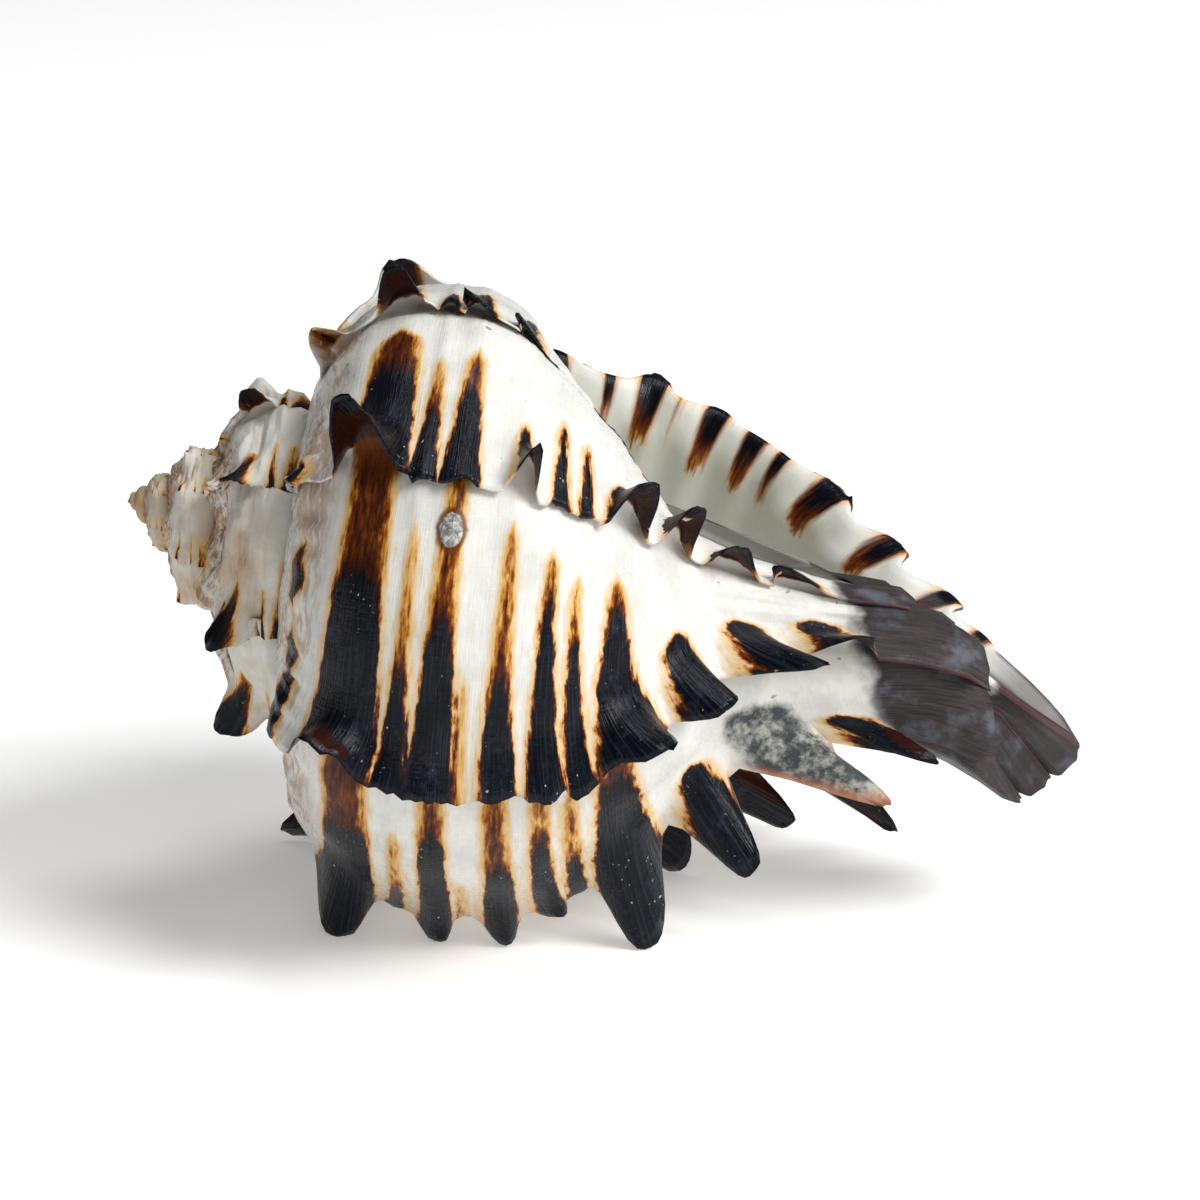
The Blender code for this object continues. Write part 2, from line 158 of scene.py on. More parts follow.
def smoothStep(value, low, high):
    t = np.clip((np.asarray(value, float) - low) / (high - low), 0.0, 1.0)
    return t * t * (3 - 2 * t)


def curveThrough(points, steps):
    # Catmull-Rom, then evenly spaced samples
    points = np.array(points)
    last = len(points) - 1
    t = np.linspace(0, last, 40 * last + 1)
    i = np.minimum(t.astype(int), last - 1)
    f = (t - i)[:, None]
    before, here = points[np.maximum(i - 1, 0)], points[i]
    ahead, beyond = points[i + 1], points[np.minimum(i + 2, last)]
    curve = here + 0.5 * f * (
        (ahead - before)
        + f * (2 * before - 5 * here + 4 * ahead - beyond)
        + f * f * (3 * here - before - 3 * ahead + beyond)
    )
    length = np.concatenate([[0], np.cumsum(np.linalg.norm(np.diff(curve, axis=0), axis=1))])
    even = np.linspace(0, length[-1], steps)
    return np.stack([np.interp(even, length, curve[:, k]) for k in (0, 1)], 1)


class Outline:
    # The lip's closed outline, sampled finely: outer side first, then the inner side
    def __init__(self):
        outer = curveThrough(growth["outer"], 700)
        inner = curveThrough(growth["inner"], 400)
        turnIn = [outer[-1] + (inner[0] - outer[-1]) * k / 12 for k in range(1, 12)]
        turnOut = [inner[-1] + (outer[0] - inner[-1]) * k / 8 for k in range(1, 8)]
        self.points = np.concatenate([outer, turnIn, inner, turnOut])
        self.along, self.radius = self.points.T
        tangent = np.roll(self.points, -6, axis=0) - np.roll(self.points, 6, axis=0)
        tangent /= np.linalg.norm(tangent, axis=1)[:, None]
        self.normal = np.stack([-tangent[:, 1], tangent[:, 0]], 1)
        step = np.linalg.norm(np.roll(self.points, -1, axis=0) - self.points, axis=1)
        self.length = np.concatenate([[0], np.cumsum(step)])
        index = np.arange(len(self.points))
        self.outside = (index < len(outer)).astype(float)
        past = (self.length[:-1] - self.length[len(outer)]) / growth["flareFade"]
        self.grip = np.where(index < len(outer), 1.0, np.clip(1 - past, 0, 1))
        self.step = step

    def columnsFor(self, weight):
        # Places in the samples, close together where the weight is high
        total = np.concatenate([[0], np.cumsum(self.step * weight)])
        even = np.linspace(0, total[-1], skin["columns"] + 1)[:-1]
        return np.interp(even, total, np.arange(len(total)))


outline = Outline()


def columnPlaces(back):
    # Closer on the cords, and on the spire only where it isn't covered
    on = outline.outside > 0.5
    nearCord = sum(np.exp(-np.abs((outline.along - place) / (1.25 * half)) ** 4)
                   for place, half in cords.values())
    body = 1 + (skin["cordCrowding"] - 1) * np.clip(nearCord, 0, 1)
    body = np.where(on, body, skin["innerCrowding"])
    body = body * np.where(on & (outline.along < 0.0305), 0.7, 1.0)
    top = np.where(on & (outline.along < 0.050), 1.0, 0.10)
    share = float(smoothStep(back, 300.0, 430.0))
    weight = body / np.sum(outline.step * body) * (1 - share)
    weight = weight + top / np.sum(outline.step * top) * share
    return outline.columnsFor(weight)


class Around:
    # The outline's values at the columns of one row, some degrees back from the lip
    def __init__(self, back):
        place = columnPlaces(back)
        samples = np.arange(len(outline.points) + 1)

        def pick(values):
            return np.interp(place, samples, np.append(values, values[0]))

        self.back, self.size = back, float(whorlSize(back))
        self.along, self.radius = pick(outline.along), pick(outline.radius)
        normal = np.stack([pick(outline.normal[:, 0]), pick(outline.normal[:, 1])], 1)
        self.normal = normal / np.linalg.norm(normal, axis=1)[:, None]
        self.grip, self.outside = pick(outline.grip), pick(outline.outside)
        self.canal = smoothStep(self.along, *growth["canalBlend"])
        self.slim = smoothStep(self.along, *growth["slimFrom"])
        self.slim = self.slim * (1 - smoothStep(self.along, *growth["slimTo"]))
        inner = (1 - self.outside) * (1 - smoothStep(self.along, *growth["tuckInner"]))
        ramp = self.outside * (1 - smoothStep(self.along, *growth["tuckRamp"]))
        self.tuck = np.maximum(inner, ramp)
        self.shoulder = self.outside * (1 - smoothStep(self.along, *growth["roundAlong"]))


turn, slope = math.radians(growth["axisTurn"]), math.radians(growth["axisSlope"])
alongAxis = np.array([math.cos(turn) * math.cos(slope), math.sin(turn) * math.cos(slope),
                      -math.sin(slope)])
frontAxis = np.array([math.sin(turn), -math.cos(turn), 0.0])
upAxis = np.cross(frontAxis, alongAxis)


def inWorld(along, front, up):
    bend = growth["bendRate"] * np.maximum(along - growth["bendStart"], 0.0) ** 2
    angle = math.radians(growth["bendAngle"])
    front = front + bend * math.cos(angle)
    up = up + bend * math.sin(angle)
    return (np.array(growth["apex"]) + along[:, None] * alongAxis
            + front[:, None] * frontAxis + up[:, None] * upAxis)


def whorlSize(back):
    last = np.minimum(back, growth["spireFrom"]) / 360.0
    spire = np.maximum(back - growth["spireFrom"], 0.0) / 360.0
    flat = growth["flattening"] * np.exp(
        -(((back - growth["flatMiddle"]) / growth["flatSpread"]) ** 2))
    return growth["whorl"] ** -last * growth["spire"] ** -spire * (1 - flat)


def varix(number):
    # Degrees back, the two tilts, ridge and spines; the spire's are smaller and more worn
    lap, place = divmod(number, len(varices))
    back, tilt, neck, ridge, spines = varices[place]
    back = back + 360.0 * lap
    if lap == 0:
        return back, (tilt, neck), ridge, spines
    size = float(whorlSize(back) / whorlSize(360.0))
    size = size * skin["spireWear"] ** (lap - 1)
    spines = {name: [size * part for part in tip]
              for name, tip in skin["spireSpines"].items()}
    return back, (0.0, 0.0), skin["spireRidge"] * size, spines


def ragged(seed, along, scale):
    # Smooth seeded noise along an edge, from -1 to 1
    return np.array([noise.noise(Vector((a * scale, seed * 7.13, 0.37 * seed)))
                     for a in along])


def frillOf(number, around):
    # How far a varix's edge is torn back and forth, less on the neck's spines
    frill = ragged(number + 1.5, around.along, 900) * 0.7
    frill = frill + ragged(number + 5.5, around.along, 2400) * 0.55
    calm = 0.65 * smoothStep(around.along, 0.076, 0.082)
    calm = calm + 0.35 * smoothStep(around.along, 0.092, 0.097)
    return skin["frill"] * frill * around.outside * (1 - calm)


def flareOf(number, around):
    # How far a varix's edge stands out, along and ahead, and so the canal's end
    back, _, ridge, spines = varix(number)
    along = around.along
    rim = ridge * 0.001 * smoothStep(along, 0.0288, 0.033)
    out = rim * (1 - 0.6 * around.canal)
    axial = np.zeros(len(along))
    forward = 0.3 * rim
    for name, tip in spines.items():
        if name == "end":
            continue
        place, half = cords[name]
        half = tip[3] * 0.001 if len(tip) > 3 else half
        blunt = skin["neckBlunt"] if place > growth["neckFrom"] else skin["blunt"]
        bell = np.exp(-np.abs((along - place) / half) ** blunt) * 0.001
        out = out + tip[0] * bell
        axial = axial + tip[1] * bell
        forward = forward + tip[2] * bell
    reach = smoothStep(along, *skin["endFrom"]) * 0.001
    end = [part * reach * around.grip for part in spines.get("end", (0, 0, 0))]
    shown = around.grip
    for coveredBack, share, first, last in skin["covered"]:
        if back >= coveredBack:
            shown = shown * (1 - share * smoothStep(along, first, last))
            break
    return [part * shown for part in (out, axial, forward)], end


def endScale(share):
    # How far the canal's end is drawn out, from one varix to the next
    grown = smoothStep(share, 0.0, skin["endGrown"])
    grown = skin["endAtFirst"] + (1 - skin["endAtFirst"]) * grown
    return float(grown * (1 - skin["endWorn"] * smoothStep(share, 0.8, 1.0)))


def rowAt(around, tilt=(0.0, 0.0), lift=0.0, flare=None, inset=0.0, ahead=0.0, drop=0.0,
          endLift=0.0):
    # The row's places in the world: lift raises the flare, inset and drop go into the wall
    back = around.back
    turned = back + tilt[0] * (around.along - growth["tiltAbout"])
    turned = turned + tilt[1] * np.maximum(around.along - growth["neckFrom"], 0.0)
    size = whorlSize(turned) * (1 - around.canal)
    size = size + growth["canal"] ** (-turned / 360.0) * around.canal
    angle = np.radians(growth["lipAngle"] + turned)
    along = around.along * size
    radius = around.radius * size
    tuck = growth["tuck"] * float(smoothStep(back, *growth["tuckBack"]))
    rounding = growth["spireRound"] * float(smoothStep(back, *growth["roundBack"]))
    radius = radius * (1 - tuck * around.tuck - rounding * around.shoulder)
    slim = growth["slimming"] * float(smoothStep(back, *growth["slimBack"]))
    radius = radius * (1 - slim * around.slim)
    if flare is not None:
        for (out, axial, forward), part in zip(flare, (lift, endLift)):
            along = along + part * (out * around.normal[:, 0] + axial)
            radius = radius + part * out * around.normal[:, 1]
            ahead = ahead + part * forward
    wall = growth["wall"] * (1 - around.canal) + growth["canalWall"] * around.canal
    down = inset * wall + drop
    along = along - down * around.normal[:, 0]
    radius = radius - down * around.normal[:, 1]
    front = radius * np.cos(angle) + ahead * np.sin(angle)
    up = radius * np.sin(angle) - ahead * np.cos(angle)
    return inWorld(along, front, up)


# For each cord: where its stripe starts and turns black, as shares of the way from one
# varix to the next, and half its width where it starts and at the edge, in mm
stripes = {
    "ramp": (0.55, 0.80, 0.3, 0.9),
    "shoulder": (-0.2, 0.42, 3.0, 5.0),
    "first": (0.06, 0.66, 0.35, 1.9),
    "second": (-0.2, 0.55, 1.1, 3.0),
    "thread": (0.55, 1.2, 0.2, 0.5),
    "third": (0.03, 0.72, 0.6, 2.3),
    "fourth": (0.10, 0.38, 0.6, 2.0),
    "fifth": (0.18, 0.55, 0.35, 1.5),
    "base": (0.16, 0.46, 0.7, 3.6),
    "neck": (0.60, 0.66, 1.3, 2.5),
    "canal": (0.62, 0.68, 1.2, 2.4),
    "tail": (0.58, 0.66, 1.1, 2.1),
}
stripePlace = {name: place for name, (place, _) in cords.items()}
stripePlace["thread"] = 0.0575  # a thin stripe that has no cord
noStripe = (2, 2, 0, 0)  # it would start past the next varix
# What differs on the stretch that ends in one varix, by the varix's number from the lip
stripesAt = {
    3: {"shoulder": (-0.2, 0.45, 3.0, 4.2), "first": (0.2, 0.8, 0.5, 1.2),
        "second": (-0.2, 0.35, 1.5, 2.2), "third": (-0.2, 0.62, 1.3, 2.2),
        "fourth": (0.0, 0.45, 1.0, 1.6), "fifth": (0.1, 0.7, 0.7, 1.1),
        "base": (0.0, 0.35, 1.9, 3.4), "canal": noStripe},
    4: {"ramp": (0.02, 0.35, 0.5, 1.3)},
    5: {"ramp": (0.65, 0.78, 0.5, 1.5), "shoulder": (0.10, 0.53, 3.3, 4.9),
        "first": (0.28, 0.70, 0.6, 1.9), "second": (0.20, 0.60, 1.0, 2.8),
        "thread": noStripe, "third": (0.56, 0.70, 0.6, 1.6),
        "fourth": (0.44, 0.56, 0.3, 1.3), "fifth": (0.50, 0.64, 0.3, 1.0),
        "base": (0.70, 0.80, 1.4, 3.0), "neck": (0.84, 0.90, 1.6, 2.4),
        "canal": (0.84, 0.90, 1.2, 2.2), "tail": (0.80, 0.90, 1.0, 1.6)},
    6: {"shoulder": (0.45, 0.75, 1.0, 3.0), "first": (0.72, 0.84, 0.5, 1.6),
        "second": (0.62, 0.76, 0.6, 2.2), "thread": noStripe,
        "third": (0.66, 0.80, 0.6, 1.9), "fourth": noStripe, "fifth": noStripe},
    7: {"shoulder": (0.45, 0.70, 1.0, 2.2), "first": noStripe, "second": noStripe,
        "thread": noStripe},
}
# Inside the lip, half the width of each mark
lipMarks = {
    "ramp": 0.6, "shoulder": 2.3, "first": 0.7, "second": 1.6, "thread": 0.3, "third": 1.4,
    "fourth": 1.3, "fifth": 0.7, "base": 1.5, "neck": 1.2, "canal": 0.9, "tail": 0.8,
}
stripesAt[-1] = {name: (0, 0, 0, half) for name, half in lipMarks.items()}


def pigment(number, share, along):
    # Signed distance inside the nearest stripe in mm, and how dark it is from 0 to 1
    inside = np.full(len(along), -3.0)
    dark = np.zeros(len(along))
    own = stripesAt.get(number, {})
    onSpire = number >= len(varices)
    for name, place in stripePlace.items():
        begin, black, first, last = own.get(name, stripes[name])
        wander = 0.5 * noise.noise(Vector((share * 2.2, place * 900, number * 3.7)))
        if onSpire:
            begin, black = 0.50 + 0.6 * wander, 0.85
            first, last = 0.2 * first, 0.60 * last
            if number >= skin["wornFrom"]:
                first, last = 0.0, 0.30 * last
        grown = min(max((share - begin) / max(1.0 - begin, 0.05), 0.0), 1.0)
        start = float(smoothStep(share, begin - 0.04, begin + 0.16))
        half = (first + (last - first) * grown ** 1.6) * start
        if name == "ramp":
            half += noise.noise(Vector((share * 7.0, number * 2.3, 8.8))) * 1.6 - 0.3
        distance = half - np.abs((along - place) * 1000 + 0.5 * wander) - 2.0 * (1 - start)
        level = float(smoothStep(share, black - 0.20, black + 0.18))
        if onSpire:
            level = 0.6 * level
        dark = np.where(distance > inside, level, dark)
        inside = np.maximum(inside, distance)
    return inside, dark


rows = []  # the skin's rows: their places, and the values that the finish reads


def scarAt(along, back):
    # How deep inside the scar, from 1 at its middle to below 0 outside
    size = float(whorlSize(back))
    across = (along - scar["along"]) * 1000 * size / scar["halfAcross"]
    arc = math.radians(back - scar["back"]) * scar["radius"] * size / scar["halfAlong"]
    return 1 - np.hypot(across, arc)


def addRow(points, around, number, share, **marks):
    # A row on the stretch that ends in a varix, some share of the way along it
    back = around.back
    stripe, dark = pigment(number, share, around.along)
    values = {"stripe": stripe, "dark": dark, "inside": 0.0, "edge": 0.0, "under": 0.0}
    values.update(marks)
    full = np.ones(len(around.along))
    values = {name: full * value for name, value in values.items()}
    values["alongCord"] = around.along * 1000
    values["arc"] = full * (back * growth["degreeArc"])
    values["spire"] = full * float(smoothStep(back, 285.0, 420.0))
    values["canalPart"] = smoothStep(around.along, 0.0965, 0.1020)
    values["size"] = full * around.size
    shown = around.outside * (1 - values["inside"])
    values["scar"] = np.maximum(scarAt(around.along, back), -1.0) * shown - (1 - shown)
    varixNumber, cord, half = skin["mottled"]
    onCord = np.exp(-np.abs((around.along - cords[cord][0]) * 1000 / half) ** 4)
    values["mottle"] = onCord * float(smoothStep(share, 0.30, 0.60)) * (number == varixNumber)
    rows.append((points, values))


def relief(around):
    # Cords, threads, waves, folds at the suture and the scar, as a drop into the wall
    back, arc = around.back, around.back * growth["degreeArc"]
    cord = sum(np.exp(-np.abs((around.along - place) / (0.8 * half)) ** 2)
               for place, half in cords.values())
    thread = np.cos(around.along * 1000 * 2 * math.pi / skin["threadEvery"])
    wave = np.array([noise.noise(Vector((a * 160, arc * 0.16, 3.1)))
                     for a in around.along])
    fade = 1 - 0.3 * smoothStep(back, 300.0, 400.0)
    out = (skin["cordRelief"] * cord + skin["thread"] * thread
           + skin["undulation"] * wave)
    fold = noise.noise(Vector((arc * 0.30, 7.7, 1.3))) + 0.6 * noise.noise(
        Vector((arc * 0.75, 2.1, 5.9)))
    near = np.exp(-(((around.along - 0.0325) / 0.0024) ** 2))
    out = out + skin["sutureFold"] * fold * near * float(smoothStep(back, 120.0, 180.0))
    depth = scarAt(around.along, back)
    plate = smoothStep(depth, 0.0, 0.35)
    rim = np.exp(-(((depth + 0.12) / 0.12) ** 2))
    return (-out * fade * around.size
            - scar["height"] * (plate - 0.35 * rim)) * around.outside


def spireLumps(around):
    # Worn knobs and folds where the early whorls are eroded
    back = around.back
    shown = float(smoothStep(back, 290.0, 380.0))
    if not shown:
        return 0.0
    lumps = np.array([noise.noise(Vector((a * 210, back * 0.045, 9.3)))
                      + 0.5 * noise.noise(Vector((a * 480, back * 0.11, 4.1)))
                      for a in around.along])
    return -skin["spireLump"] * shown * around.size * lumps * around.outside


def growOutside():
    count = len(varices) * (1 + skin["spireWhorls"])
    oldest = varix(count - 1)[0] + skin["varixRise"]
    for back in np.arange(growth["turns"] * 360, oldest, -15.0):
        around = Around(back)
        addRow(rowAt(around), around, count, 0.3)
    for number in range(count - 1, -1, -1):
        growStretch(number)


def growStretch(number):
    # The whorl from beneath one varix's edge to the next edge, and round beneath that
    back, tilt = varix(number)[:2]
    before, tiltBefore = varix(number + 1)[:2]
    start = min(back + skin["varixRise"], before - 4.0)
    first = before - 1.0
    size = float(whorlSize(back))
    radius = growth["shoulderRadius"] * size
    stepDegrees = max(math.degrees(skin["finest"] / radius), 0.9)
    wornHere, wornBefore = number >= skin["wornFrom"], number + 1 >= skin["wornFrom"]
    plain = max(int((first - start) / (1.9 * stepDegrees)), 3)
    for k in range(plain):
        between = first + (start - first) * k / plain
        around = Around(between)
        share = (before - between) / (before - back)
        way = (before - between) / (before - start)
        lean = [a + (b - a) * way for a, b in zip(tiltBefore, tilt)]
        fading = 0.0
        if wornBefore:
            fading = 0.8 * float(1 - smoothStep(before - between, 1.0, 13.0))
        flare = flareOf(number + 1 if fading else number, around)
        drop = relief(around) + spireLumps(around)
        addRow(rowAt(around, lean, fading, flare, drop=drop, endLift=endScale(share)),
               around, number, share)
    rising = max(int((start - back) / stepDegrees), 7)
    for k in range(rising + 1):
        rise = (k / rising) ** 0.8
        around = Around(start + (back - start) * rise)
        share = (before - around.back) / (before - back)
        drop = relief(around) + spireLumps(around)
        ahead = frillOf(number, around) * rise ** 6 * size
        lift = rise ** 3
        if wornHere:
            lift = 0.8 * float(smoothStep(rise, 0, 1))
        addRow(rowAt(around, tilt, lift, flareOf(number, around), drop=drop, ahead=ahead,
                     endLift=endScale(share)),
               around, number, share, edge=rise ** 6)
    if number and not wornHere:
        underFlare(number, back, start, tilt, size)


def underFlare(number, back, start, tilt, size):
    # Over the edge, back beneath it, and out again as the next stretch of whorl
    thick = skin["edgeThickness"] * (0.35 + 0.65 * size)
    endNow, endNext = endScale(1.0), endScale(0.0)
    for k, rise in enumerate((1.0, 0.985, 0.95, 0.90, 0.84, 0.77, 0.70)):
        around = Around(start + (back - start) * rise)
        ahead = frillOf(number, around) * rise ** 6 * size
        down = thick * min(1.0, 0.45 + 0.35 * k) * around.grip * around.outside
        lift, nose = (rise ** 3, 0.0) if k else (0.985, thick * 0.5)
        addRow(rowAt(around, tilt, lift, flareOf(number, around), drop=down,
                     ahead=ahead + nose, endLift=endNow + (endNext - endNow) * k / 6),
               around, number, 1.0, edge=max(0.0, 1 - k / 3), under=min(1.0, k / 2))
    for rise, lift in ((0.70, 0.12), (0.78, 0.03), (0.90, 0.0)):
        around = Around(start + (back - start) * rise)
        flare = flareOf(number, around)[0], flareOf(number - 1, around)[1]
        addRow(rowAt(around, tilt, lift, flare, drop=thick * 0.6, endLift=endNext),
               around, number - 1, 0.0, under=1.0)


def growHollow():
    # Over the lip, then in along the wall, and closed deep inside
    tilt = varix(0)[1]
    for k, (back, lift, inset, nose) in enumerate((
            (0.0, 0.97, 0.12, 0.0005), (0.3, 0.85, 0.35, 0.0007), (1.0, 0.60, 0.6, 0.0004),
            (2.2, 0.30, 0.8, 0.0), (4.0, 0.10, 0.92, 0.0))):
        around = Around(back)
        addRow(rowAt(around, tilt, lift, flareOf(0, around), inset=inset, ahead=nose,
                     endLift=endScale(1.0) * (1 - 0.1 * k)),
               around, -1, 1.0, inside=min(1.0, 0.3 * k), edge=1 - k / 4)
    spacing = list(np.arange(6.0, 40.0, 2.2)) + list(np.arange(40.0, 110.0, 5.0))
    spacing += list(np.arange(110.0, growth["hollowTurn"], 9.0))
    for back in spacing:
        around = Around(back)
        fromCord = (around.along - cords["shoulder"][0]) * 1000
        wave = np.cos(fromCord * 2 * math.pi / skin["lipFoldEvery"])
        drop = skin["lipFold"] * wave * math.exp(-back / 60) * around.outside
        addRow(rowAt(around, tilt, inset=1.0, drop=drop), around, -1, 1.0, inside=1.0)
    middle = rows[-1][0].mean(axis=0)
    for shrink, further in ((0.75, 8.0), (0.4, 13.0)):
        around = Around(growth["hollowTurn"] + further)
        row = rowAt(around, tilt, inset=1.0)
        addRow(middle + (row - middle) * shrink, around, -1, 1.0, inside=1.0)


growOutside()
growHollow()
print("rows grown:", len(rows), "x", skin["columns"])


def makeSkin():
    # A grid that is rolled up: each corner goes to its row's place at its column
    columns = skin["columns"]
    mesh = bmesh.new()
    layers = {name: mesh.verts.layers.float.new(name) for name in rows[0][1]}
    bmesh.ops.create_grid(mesh, x_segments=columns, y_segments=len(rows) - 1, size=1.0)
    for vertex in mesh.verts:
        column = round((vertex.co.x + 1) / 2 * columns) % columns
        row = round((vertex.co.y + 1) / 2 * (len(rows) - 1))
        points, values = rows[row]
        vertex.co = Vector(points[column])
        for name, layer in layers.items():
            vertex[layer] = values[name][column]
    bmesh.ops.remove_doubles(mesh, verts=mesh.verts, dist=1e-6)
    rim = [edge for edge in mesh.edges if edge.is_boundary]
    bmesh.ops.holes_fill(mesh, edges=rim)
    soft = skin["restSoft"]
    for vertex in mesh.verts:  # tips worn round where they rest
        if vertex.co.z < 8 * soft:
            vertex.co.z = soft * math.log1p(math.exp(vertex.co.z / soft))
    bmesh.ops.recalc_face_normals(mesh, faces=mesh.faces)
    data = bpy.data.meshes.new("murexSkin")
    mesh.to_mesh(data)
    mesh.free()
    data.shade_smooth()
    piece = bpy.data.objects.new("murexSkin", data)
    bpy.context.scene.collection.objects.link(piece)
    print("skin made:", len(data.polygons), "faces")
    return piece


class Tone:
    # A socket that adds, subtracts and multiplies as a number does
    def __init__(self, tree, socket=None):
        self.tree, self.socket = tree, socket

    def node(self, kind, settings, sockets, out=0):
        made = self.tree.nodes.new(kind)
        for name, value in settings.items():
            if name == "stops":
                ramp = made.color_ramp
                while len(ramp.elements) < len(value):
                    ramp.elements.new(0.5)
                for element, (place, colour) in zip(ramp.elements, value):
                    element.position = place
                    element.color = (*colour, 1.0)
            else:
                setattr(made, name, value)
        for name, value in sockets.items():
            if isinstance(value, Tone):
                self.tree.links.new(value.socket, made.inputs[name])
            elif isinstance(value, tuple) and len(value) == 3 and \
                    made.inputs[name].type == "RGBA":
                made.inputs[name].default_value = (*value, 1.0)
            else:
                made.inputs[name].default_value = value
        return Tone(self.tree, made.outputs[out])

    def sum(self, kind, first, second):
        return self.node("ShaderNodeMath", {"operation": kind}, {0: first, 1: second})

    def __add__(self, other):
        return self.sum("ADD", self, other)

    def __radd__(self, other):
        return self.sum("ADD", other, self)

    def __sub__(self, other):
        return self.sum("SUBTRACT", self, other)

    def __rsub__(self, other):
        return self.sum("SUBTRACT", other, self)

    def __mul__(self, other):
        return self.sum("MULTIPLY", self, other)

    def __rmul__(self, other):
        return self.sum("MULTIPLY", other, self)

    def step(self, low, high):
        # 0 below low and 1 above high, smooth between
        return self.node("ShaderNodeMapRange", {"interpolation_type": "SMOOTHSTEP"},
                         {"Value": self, "From Min": low, "From Max": high})

    def mix(self, first, second):
        # From the first colour to the second as this goes from 0 to 1
        return self.node("ShaderNodeMix", {"data_type": "RGBA"},
                         {0: self, 6: first, 7: second}, 2)

    def mark(self, name):
        return self.node("ShaderNodeAttribute", {"attribute_name": name}, {}, 2)

    def grain(self, where, scale, detail=3.0, rough=0.55):
        return self.node("ShaderNodeTexNoise", {}, {
            "Vector": where, "Scale": scale, "Detail": detail, "Roughness": rough})


finish = {
    "white": (0.79, 0.785, 0.745), "cream": (0.72, 0.60, 0.41), "shade": (0.68, 0.68, 0.65),
    "worn": (0.66, 0.62, 0.53), "tan": (0.50, 0.33, 0.17), "stain": (0.34, 0.16, 0.06),
    "rust": (0.13, 0.028, 0.006),
    # From the amber edge of a stripe to its black middle
    "pigment": [(0.0, (0.72, 0.47, 0.18)), (0.13, (0.50, 0.21, 0.030)),
                (0.28, (0.20, 0.048, 0.007)), (0.46, (0.060, 0.013, 0.004)),
                (0.68, (0.004, 0.0042, 0.0065)), (1.0, (0.0020, 0.0032, 0.0070))],
    # Slate-grey threads on the black stripes are partly a painted sheen; then bluish dust
    "slateAndSheen": (0.026, 0.032, 0.044), "dust": (0.020, 0.026, 0.040),
    "beneath": (0.22, 0.06, 0.012), "beneathDark": (0.030, 0.007, 0.004),
    # Canal scales: the blue-grey one is a painted sheen, laid in cloudy patches
    "scale": (0.082, 0.066, 0.066), "scaleSheen": (0.14, 0.15, 0.18),
    "scaleDark": (0.022, 0.018, 0.020), "scaleEdge": (0.10, 0.042, 0.038),
    "greyDark": (0.060, 0.068, 0.074), "greyPale": (0.45, 0.46, 0.40),
    "rosyTip": (0.52, 0.22, 0.12),
    "silver": (0.62, 0.61, 0.58), "silverDark": (0.20, 0.195, 0.19),
    "crack": (0.10, 0.08, 0.06),
    "hollow": (0.74, 0.75, 0.66),
    "roughness": 0.27, "specular": 0.15, "bump": 0.55, "bumpDepth": 0.00035,
}


def readSkin(tree):
    # The values that the skin carries, by name, and noise that follows it
    start = Tone(tree)
    read = {name: start.mark(name) for name in rows[0][1]}
    spot = start.node("ShaderNodeTexCoord", {}, {}, "Object")

    def drawn(acrossScale, alongScale, detail, rough=0.55):
        # Noise drawn out across the cords or along the growth
        where = start.node("ShaderNodeCombineXYZ", {}, {
            0: read["alongCord"] * acrossScale, 1: read["arc"] * alongScale})
        return start.grain(where, 1.0, detail, rough)

    read.update({
        "cloud": start.grain(spot, 260.0, 4.0), "fine": start.grain(spot, 1400.0, 3.0),
        "patch": start.grain(spot, 95.0, 3.0), "mottling": start.grain(spot, 420.0, 4.0, 0.7),
        "specks": start.grain(spot, 2000.0, 1.0), "speckField": start.grain(spot, 150.0, 2.0),
        "pits": start.grain(spot, 700.0, 1.0),
        "fringe": drawn(1.7, 0.30, 4.0, 0.6), "lines": drawn(0.25, 3.2, 3.0, 0.6),
        "threads": drawn(5.0, 0.12, 2.0), "streak": drawn(0.5, 1.6, 4.0, 0.6),
        "cracks": start.node("ShaderNodeTexVoronoi", {"feature": "DISTANCE_TO_EDGE"},
                             {"Vector": spot, "Scale": 800.0}),
    })
    return read


def whiteGround(read):
    # White with cream streaks, tan and stained where the spire is worn and at the suture
    cloud, fringe, patch, along = (read[name] for name in
                                   ("cloud", "fringe", "patch", "alongCord"))
    ground = cloud.step(0.35, 0.75).mix(finish["white"], finish["shade"])
    ground = (fringe.step(0.50, 0.72) * 0.45).mix(ground, finish["cream"])
    worn = cloud.step(0.3, 0.7).mix(finish["worn"], finish["white"])
    worn = (patch.step(0.46, 0.66) * 0.75).mix(worn, finish["tan"])
    stained = patch.step(0.60, 0.70) * fringe.step(0.40, 0.62)
    worn = (stained * 0.8).mix(worn, finish["stain"])
    worn = read["size"].step(0.14, 0.05).mix(worn, finish["tan"])
    suture = along.step(37.5, 33.5) * (patch * 0.5 + fringe * 0.5).step(0.46, 0.56)
    worn = (suture * 0.9).mix(worn, finish["stain"])
    ground = (read["spire"] * 0.9).mix(ground, worn)
    return (suture * read["inside"].step(0.3, 0.0) * 0.6).mix(ground, finish["stain"])


def bands(read):
    # Where the stripes are, and how deep their pigment: amber fringes, then rust, then
    # black, further into a stripe and nearer a varix
    fringe, dark = read["fringe"], read["dark"]
    ragged = read["stripe"] + (fringe - 0.5) * 1.5 + (read["fine"] - 0.5) * 0.35
    ripe = dark + (fringe - 0.5) * 0.9 + (read["cloud"] - 0.5) * 0.5
    depth = ragged.step(-0.3, 1.7) * (dark * 0.10 + 0.45)
    depth = depth + ripe * 0.85 * ragged.step(-0.20, 0.55)
    return ragged.step(-1.15, 0.15), depth


def pigmentRamp(depth):
    return depth.node("ShaderNodeValToRGB", {"stops": finish["pigment"]}, {0: depth})


